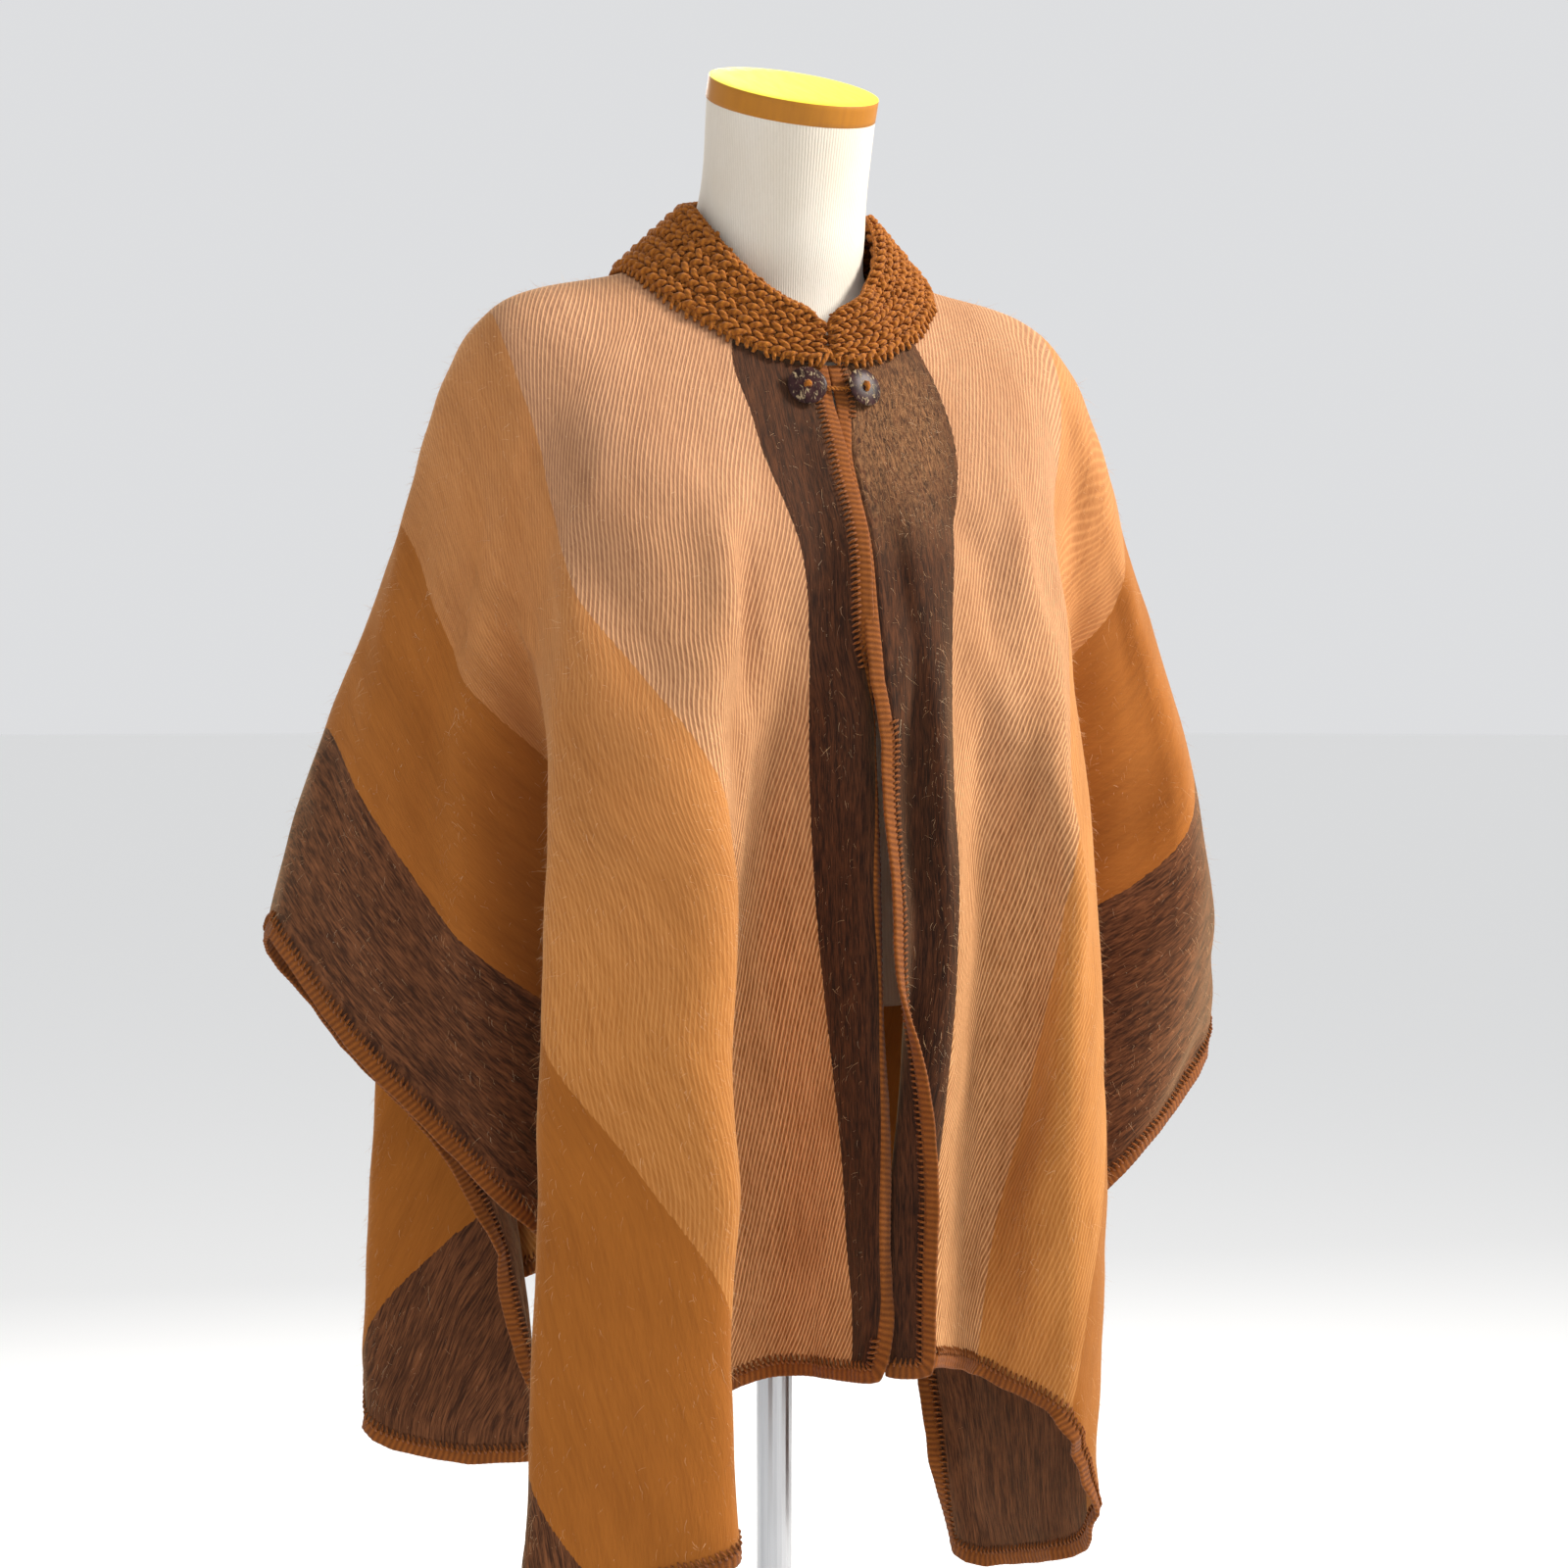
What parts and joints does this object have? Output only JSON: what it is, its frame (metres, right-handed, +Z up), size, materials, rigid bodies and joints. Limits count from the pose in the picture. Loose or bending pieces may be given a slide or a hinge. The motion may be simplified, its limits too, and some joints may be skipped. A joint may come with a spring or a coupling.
{
  "type": "cape on dress form",
  "caption": "Woven blanket cape with crocheted collar, edging and coconut buttons, draped on a limbless dress form that stands on a pole and round base.",
  "frame": {"origin": "centre of the underside of the stand's round base, on the floor", "axes": "+Z up, the front of the cape faces -Y, the wearer's right is -X"},
  "size_m": [0.7224, 0.487, 1.5547],
  "materials": {
    "striped_cloth": "brushed twill, matt with a soft nap",
    "crochet_yarn": "matt wool yarn",
    "coconut_shell": "polished",
    "form_jersey": "fine matt jersey",
    "painted_cap": "gloss paint",
    "stand_steel": "satin"
  },
  "bodies": {
    "root": {"cape_cloth": "striped_cloth", "edging": "crochet_yarn", "collar": "crochet_yarn", "button_right": "coconut_shell", "button_left": "coconut_shell", "yarn_link": "crochet_yarn", "form_torso": "form_jersey", "neck_cap": "painted_cap", "stand_pole": "stand_steel", "stand_base": "stand_steel"}
  },
  "joints": []
}
